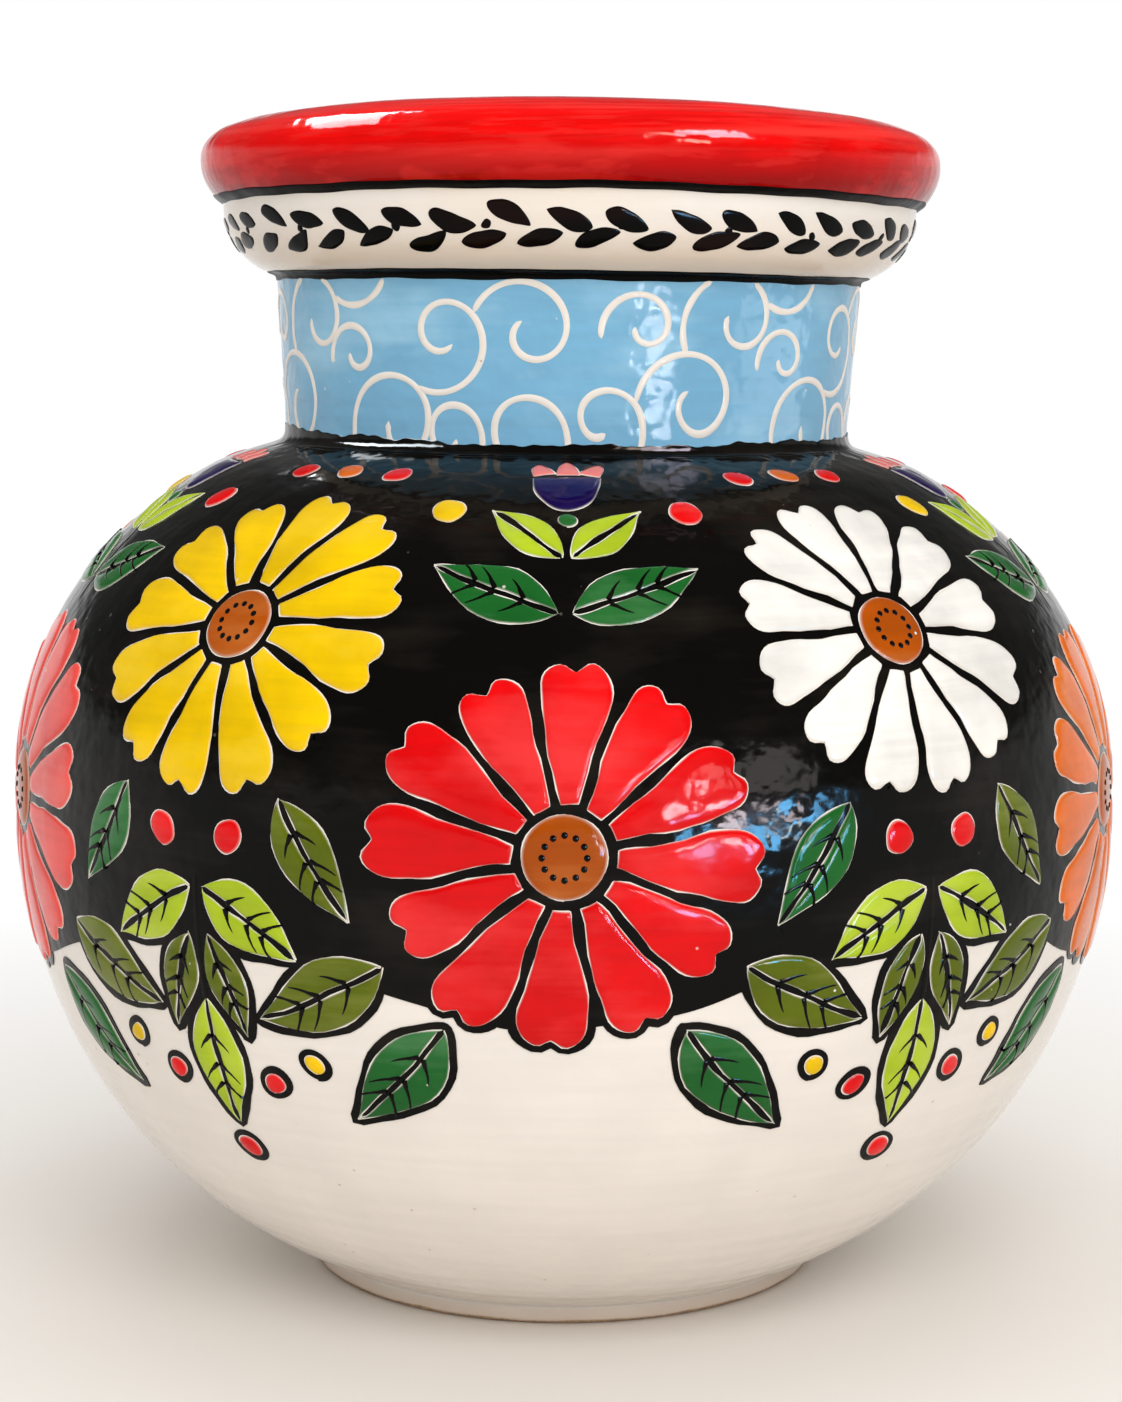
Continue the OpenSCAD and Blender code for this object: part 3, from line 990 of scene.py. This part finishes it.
# Layout of the body: flowers at two heights in turn, sprigs between them and palmettes below
FLOWER_COLOURS = ["red", "white", "orange", "coral", "yellow"] * 2
FLOWER_COUNT = len(FLOWER_COLOURS)
# Rows of flowers: height, radius, length of the leaves that hang from a flower, and their turns and colours
LOW_ROW = (158, 54, 39, ((58, "olive"), (34, "green"), (-34, "green"), (-58, "olive")))
HIGH_ROW = (214, 50, 34, ((31, "green"), (-31, "olive")))
SPRIG_GAP = 5
DOT_ROW = ((-17, "red"), (0, "orange"), (17, "red"))
DOT_ROW_GAP = 13
DOT_R = 4.2
PALMETTE_Z = 140
KNOT_R = 8
LEAF_GAP = 4
LEAF_SHARE = 0.52
LEAF_BEND = 0.1
# One side of a sprig and of a palmette: colour, turn, length, width, foot, bend and veins of the leaves;
# colour at the left and at the right, radius and place of the dots
SPRIG_LEAVES = (("green", 70, 38, 18, 2, 8, -0.12, True), ("lime", 44, 27, 13, 1.5, 27, 0, False))
SPRIG_DOTS = (("yellow", "red", 4.8, 33, 47),)
PALMETTE_LEAVES = (("lime", 114, 34.5, 18, 2.5, 4, 0.1, True),
                   ("olive", 156, 30, 12.5, 3.5, -9, 0.1, True))
PALMETTE_DOTS = (("red", "red", 4.6, 12, 19), ("red", "red", 3.2, 18, -52),
                 ("yellow", "yellow", 2.8, 33, -44))


def on_both_sides(place, leaves, dots):
    """Leaves and dots to the left and the right of a stem."""
    for side in (-1, 1):
        for colour, turn, length, width, u, v, bend, veins in leaves:
            add_leaf(colour, length, width, place, turn * side, (u * side, v), bend * side, veins)
        for left_colour, right_colour, r, u, v in dots:
            berry(right_colour if side > 0 else left_colour, r, place, (u * side, v))


def sprig(place):
    """Bud on a leafy stem that stands on the flower below."""
    v = np.linspace(-2, 40, 20)
    stem(pairs(1.2 * np.sin(v / 9), v), place)
    on_both_sides(place, SPRIG_LEAVES, SPRIG_DOTS)
    bud(place, (0, 42))


def leaf_fan(place, flower_r, leaves, length):
    """Leaves that hang out from under a flower."""
    for turn, colour in leaves:
        angle = radians(180 + turn)
        start = (flower_r + LEAF_GAP) * np.array([sin(angle), cos(angle)])
        add_leaf(colour, length * rng.uniform(0.95, 1.07), LEAF_SHARE * length, place, 180 + turn, start,
                 LEAF_BEND * np.sign(turn))


def palmette(place):
    """Fan of five leaves that opens downwards from a short stem, with dots about it."""
    stem(pairs(0, np.linspace(8, -31, 20)), place)
    OUTLINES.patch(moved(disc(KNOT_R)[:, ::2], 0, (0, -6)), place, *OUTLINE_COAT)
    on_both_sides(place, PALMETTE_LEAVES, PALMETTE_DOTS)
    add_leaf("lime", 40, 17, place, 180, (0, -28))
    berry("red", 3.6, place, (0, -77))


SCALLOP_Z = 122
SCALLOP_DEPTH = 12
NECK_LINE_W = 4.1
NECK_LINE_RISE = 1.6
NECK_LINE_TILT = 0.6


def paint_body():
    """Black ground with a scalloped edge, the line at the neck's foot, and the flowers and leaves."""
    body_end = ZONE_S["body"][1]
    waver = 0.25 * np.sin(9 * BAND_PHI + 1) + 0.2 * np.sin(23 * BAND_PHI)
    ragged = 0.3 * np.sin(41 * BAND_PHI + 2) * np.sin(13 * BAND_PHI) + 0.12 * np.sin(97 * BAND_PHI)
    scallop = s_at_height(SCALLOP_Z) - SCALLOP_DEPTH * np.cos(FLOWER_COUNT / 2 * BAND_PHI) + 3 * waver
    sides = (NECK_LINE_RISE - NECK_LINE_TILT * np.sin(BAND_PHI)) * np.sin(BAND_PHI) ** 2
    GROUND.band(scallop, body_end + 0.9 + waver, *GROUND_COAT)
    NECK_LINE.band(body_end - 1 + waver, body_end + NECK_LINE_W + sides + waver + ragged, *NECK_LINE_COAT,
                   step=0.6)
    for k, colour in enumerate(FLOWER_COLOURS):
        phi = k * TURN / FLOWER_COUNT
        z, flower_r, leaf_length, leaves = HIGH_ROW if k % 2 else LOW_ROW
        s0 = s_at_height(z)
        place = place_at(s0, phi)
        rosette(colour, flower_r, place)
        leaf_fan(place, flower_r, leaves, leaf_length)
        if k % 2:
            for u, dot_colour in DOT_ROW:
                berry(dot_colour, DOT_R, place_at(s0 + flower_r + DOT_ROW_GAP, phi), (u, 0))
            palmette(place_at(s_at_height(PALMETTE_Z), phi))
        else:
            sprig(place_at(s0 + flower_r + SPRIG_GAP, phi))


# Bands of the collar and the neck: for a black line the zone that it starts, its middle and its half width
LINE_PLACES = (("rim", 0.1, 1.75), ("collar", 1.8, 2.3))
# Place of a row of strokes on the collar in degrees above level, the strokes' turn and their shift
LAUREL_ROWS = ((-14.5, 110, 0.0), (-33.0, 74, 0.5))
LAUREL_COUNT = 40
LAUREL_L = (12.2, 14.6)
LAUREL_HALF = (2.5, 3.2)
LAUREL_DOT_R = (1.1, 1.6)
LAUREL_DOTS_AT = (-25, -19)


def paint_lines():
    """Black lines under the rim and under the collar."""
    for zone, shift, half in LINE_PLACES:
        waver = 0.18 * np.sin(11 * BAND_PHI + shift) + 0.12 * np.sin(29 * BAND_PHI)
        middle = ZONE_S[zone][0] + shift + waver
        LINES.band(middle - half, middle + half, *LINE_COAT, step=0.8)


def collar_s(angle):
    """Arc length on the collar's rounding at an angle above level."""
    return s_at_height(polar(COLLAR_C, COLLAR_ARC_R, angle)[1], "collar")


def paint_laurel():
    """Two rows of slanted brush strokes, with small dots between them."""
    t = stations(25)
    for angle, turn, offset in LAUREL_ROWS:
        for k in range(LAUREL_COUNT):
            phi = (k + offset + rng.uniform(-0.1, 0.1)) * TURN / LAUREL_COUNT
            length = rng.uniform(*LAUREL_L)
            spine = pairs(rng.uniform(-1.2, 1.2) * np.sin(pi * t), length * (t - 0.5))
            half = rng.uniform(*LAUREL_HALF) * np.sin(pi * t ** rng.uniform(0.6, 1.3)) ** 0.62
            stroke = by_hand(moved(loft(spine, half), radians(turn + rng.uniform(-9, 9))), 0.2, 12)
            LAUREL.patch(stroke, place_at(collar_s(angle + rng.uniform(-2, 2)), phi), *LAUREL_COAT)
    for k in range(LAUREL_COUNT // 2):
        phi = (2 * k + 0.75 + rng.uniform(-0.2, 0.2)) * TURN / LAUREL_COUNT
        dot = by_hand(disc(rng.uniform(*LAUREL_DOT_R), 11), 0.25, 6)
        LAUREL.patch(dot, place_at(collar_s(rng.uniform(*LAUREL_DOTS_AT)), phi), *LAUREL_DOT_COAT)


SCROLL_REPEATS = 4
SCROLL_REPEAT_W = 136
SCROLL_HALF = 0.95
SCROLL_POINTS = 60
SCROLL_FOOT = 2.5
EVEN_TURN = 0.65
# One repeat of scrolls: the scroll it springs from and the share along it, or None and a start point;
# then its heading, its hand (1 for clockwise), its turn in degrees and its length
SCROLLS_OF_REPEAT = (
    (None, (20, -1), 60, -1, 350, 47),
    (0, 0.30, 80, 1, 415, 76),
    (1, 0.30, 112, 1, 405, 74),
    (2, 0.60, -35, -1, 330, 52),
    (None, (66, -1), 98, 1, 395, 74),
    (4, 0.52, -25, -1, 440, 72),
    (5, 0.52, 62, 1, 405, 66),
    (None, (135, -1), 82, -1, 355, 52),
    (None, (9, 30), 100, 1, 385, 50),
    (None, (110, -1), 75, -1, 365, 40),
    (None, (58, 22), 100, 1, 385, 42),
)


def scroll(start, heading, hand, turn, length):
    """Path that sets out along its heading and winds in ever tighter."""
    x = np.linspace(0, 1, SCROLL_POINTS)
    angle = radians(heading) - hand * radians(turn) * (EVEN_TURN * x + (1 - EVEN_TURN) * x ** 4)
    step = pairs(np.cos(angle), np.sin(angle)) * length / (SCROLL_POINTS - 1)
    middle = (step[1:] + step[:-1]) / 2
    return start + np.concatenate([[[0, 0]], np.cumsum(middle, axis=0)])


def inside_runs(path, top):
    """Stretches of a path that lie between the neck's foot and its top."""
    inside = (path[:, 1] > -0.5) & (path[:, 1] < top)
    breaks = np.flatnonzero(np.diff(inside.astype(int))) + 1
    runs = np.split(np.arange(len(path)), breaks)
    return [path[run] for run in runs if inside[run[0]] and len(run) > 4]


def paint_scrolls():
    """Pale scrolls that spring from one another, cut off at the edges of the neck."""
    low, high = ZONE_S["neck"][0] + SCROLL_FOOT, ZONE_S["neck"][1]
    share = TURN / SCROLL_REPEATS / SCROLL_REPEAT_W
    for k in range(SCROLL_REPEATS):
        paths = []
        for parent, where, heading, hand, turn, length in SCROLLS_OF_REPEAT:
            if parent is None:
                start = np.array(where) + rng.uniform(-1.5, 1.5, 2) * [1, 0.6]
            else:
                start = paths[parent][int(where * SCROLL_POINTS)]
            path = scroll(start, heading + rng.uniform(-7, 7), hand, turn + rng.uniform(-12, 12),
                          length * rng.uniform(0.95, 1.05))
            paths.append(path)
            for run in inside_runs(path, high - low):
                ends = np.linspace(-1, 1, len(run))
                half = SCROLL_HALF * (1 + 0.1 * np.sin(7 * ends + k)) * np.sqrt(1 - ends ** 24)
                origin = run.mean(axis=0)
                place = place_at(low + origin[1], (k * SCROLL_REPEAT_W + origin[0]) * share)
                SCROLLS.patch(loft(run - origin, half, LINE_ACROSS), place, *SCROLL_COAT)


paint_body()
paint_lines()
paint_laurel()
paint_scrolls()
ground = GROUND.build()
outlines = OUTLINES.build()
neck_line = NECK_LINE.build()
GAPS.build()
LINES.build()
laurel = LAUREL.build()
scrolls = SCROLLS.build()
colours = [paint.build() for paint in PAINTS.values()]


# Stage: a pale floor that runs out to white, soft sky, and window-shaped lamps
FLOOR_REACH = 30
FLOOR_COLOUR = (0.88, 0.84, 0.79, 1)


def make_floor():
    corners = [(-1, -1), (1, -1), (1, 1), (-1, 1)]
    mesh = bpy.data.meshes.new("floor")
    mesh.from_pydata([(FLOOR_REACH * x, FLOOR_REACH * y, 0) for x, y in corners], [], [(0, 1, 2, 3)])
    nodes = new_material("floor_pale")
    nodes.shader.inputs["Base Color"].default_value = FLOOR_COLOUR
    nodes.shader.inputs["Roughness"].default_value = 0.7
    far = nodes.math("MULTIPLY", nodes.remap(nodes.length(nodes.place), 0.2, 0.6), nodes.background_rays())
    glow = nodes.add("Emission")[0]
    blend = nodes.add("MixShader", {0: far, 1: nodes.shader.outputs[0], 2: glow})[0]
    nodes.feed(nodes.tree.nodes["Material Output"].inputs["Surface"], blend)
    mesh.materials.append(nodes.owner)
    floor = add_object("floor", mesh)


SKY_FILL = 0.62
SKY_OVERHEAD = 0.16


def make_sky():
    """White at the horizon and dim overhead as a background; even and soft as light."""
    nodes = Nodes(bpy.data.worlds.new("sky"))
    ramp = nodes.remap(nodes.parts(nodes.where["Generated"])["Z"], 0.11, 0.22, 1, SKY_OVERHEAD)
    choice = nodes.add("Mix", {"Factor": nodes.background_rays(), "A": SKY_FILL, "B": ramp})["Result"]
    background = nodes.tree.nodes["Background"]
    nodes.feed(background.inputs["Strength"], choice)
    nodes.feed(background.inputs["Color"], (1, 1, 1, 1))
    bpy.context.scene.world = nodes.owner


AIM = Vector((0, 0, 0.2))


def make_lamp(name, at, size, power, colour=(1, 1, 1), glints_in=()):
    """Rectangular lamp facing the vase, in metres and watts: it lights all of it softly, or it only glints
    in some pieces."""
    data = bpy.data.lights.new(name, "AREA")
    data.shape = "RECTANGLE"
    data.size, data.size_y = size
    data.energy = power
    data.color = colour
    lamp = add_object(name, data)
    lamp.location = at
    lamp.rotation_euler = (AIM - Vector(at)).to_track_quat("-Z", "Y").to_euler()
    lamp.visible_camera = False
    lamp.visible_glossy = bool(glints_in)
    lamp.visible_diffuse = not glints_in
    if glints_in:
        lit = bpy.data.collections.new(name + "_lit")
        for piece in glints_in:
            lit.objects.link(piece)
        lamp.light_linking.receiver_collection = lit


make_floor()
make_sky()
make_lamp("fill_front", (0.3, -1.6, 1.2), (1.6, 1.0), 18.5)
make_lamp("fill_top", (0, 0.15, 1.6), (1.4, 1.2), 9)
# Tints of light
BLUE = (0.16, 0.55, 1)
PALE = (0.86, 0.95, 1)
LILAC = (0.97, 0.84, 1)
WARM = (1, 0.86, 0.93)
PEACH = (1, 0.74, 0.58)
DULL = (1, 0.93, 0.88)
# Window panes in front, to the right: place across the window, height, width, tallness, tint and strength
PANES = (
    (-0.285, 0.12, 0.05, 0.08, BLUE, 1.0),
    (-0.09, 0.13, 0.095, 0.12, BLUE, 1.0),
    (-0.01, 0.155, 0.05, 0.05, PALE, 0.7),
    (0.06, 0.2, 0.11, 0.06, BLUE, 1.1),
    (0.13, 0.245, 0.05, 0.04, BLUE, 0.8),
    (-0.35, 0.255, 0.08, 0.06, WARM, 0.8),
    (-0.27, 0.365, 0.05, 0.04, WARM, 0.7),
    (-0.185, 0.2, 0.08, 0.09, WARM, 0.9),
    (-0.03, 0.255, 0.08, 0.06, WARM, 0.5),
    (-0.21, 0.43, 0.12, 0.12, DULL, 0.10),
    (-0.01, 0.42, 0.2, 0.14, DULL, 0.06),
)
# What the neck mirrors lies in a narrow strip, so its panes are small
NECK_PANES = (
    (-0.14, 0.113, 0.19, 0.014, PALE, 1.2),
    (-0.1, 0.129, 0.05, 0.009, WARM, 1.0),
    (-0.17, 0.137, 0.08, 0.01, WARM, 1.0),
    (-0.11, 0.149, 0.06, 0.008, PALE, 1.0),
    (-0.19, 0.156, 0.05, 0.009, PALE, 1.0),
    (-0.14, 0.171, 0.13, 0.01, WARM, 1.0),
    (-0.18, 0.184, 0.07, 0.008, WARM, 1.0),
    (-0.11, 0.194, 0.06, 0.008, PALE, 1.0),
    (-0.16, 0.207, 0.1, 0.01, WARM, 1.0),
)
# What the rim's tight curve mirrors is spread wide, so its panes are large
RIM_PANES = (
    (0.15, 1.03, 0.26, 0.4, LILAC, 0.9),
    (-0.02, 1.12, 0.1, 0.3, WARM, 0.8),
    (-0.12, 0.95, 0.07, 0.24, WARM, 0.8),
    (-0.21, 0.98, 0.06, 0.2, PEACH, 0.7),
    (-0.31, 0.82, 0.05, 0.14, PEACH, 0.6),
    (-0.08, 0.64, 0.14, 0.1, PEACH, 0.8),
)
WINDOW_AT = (0.62, -0.72)


def make_window(name, panes, radiance, glints_in):
    """A window of uneven panes, so that its image on the pot is broken up."""
    facing = hypot(*WINDOW_AT)
    right = (-WINDOW_AT[1] / facing, WINDOW_AT[0] / facing)
    for k, (across, height, width, tall, tint, strength) in enumerate(panes):
        at = (WINDOW_AT[0] + across * right[0], WINDOW_AT[1] + across * right[1], height)
        power = radiance * strength * width * tall * pi
        make_lamp("%s_%d" % (name, k), at, (width, tall), power, tint, glints_in)


rim, neck = SHELLS["rim"], SHELLS["neck"]
make_window("pane", PANES, 75, colours)
make_window("dark_pane", PANES, 130, [ground, outlines, laurel])
make_window("neck_pane", NECK_PANES, 60, [neck, scrolls])
make_window("rim_pane", RIM_PANES, 80, [rim, neck, neck_line])
make_lamp("window_behind", (-0.34, 1.2, 1.2), (0.4, 0.2), 9, (1, 1, 1), [ground])
make_lamp("window_left", (-1.03, -0.16, 0.95), (1.0, 0.3), 110, PALE, [neck_line])
make_lamp("wall_right", (0.95, -0.1, 0.12), (0.6, 0.2), 1.6, PALE, [neck])
make_lamp("skylight", (-0.82, 0.5, 1.5), (1.0, 0.42), 46, (1, 0.92, 0.95), [rim])
bpy.context.scene.view_settings.view_transform = "Standard"
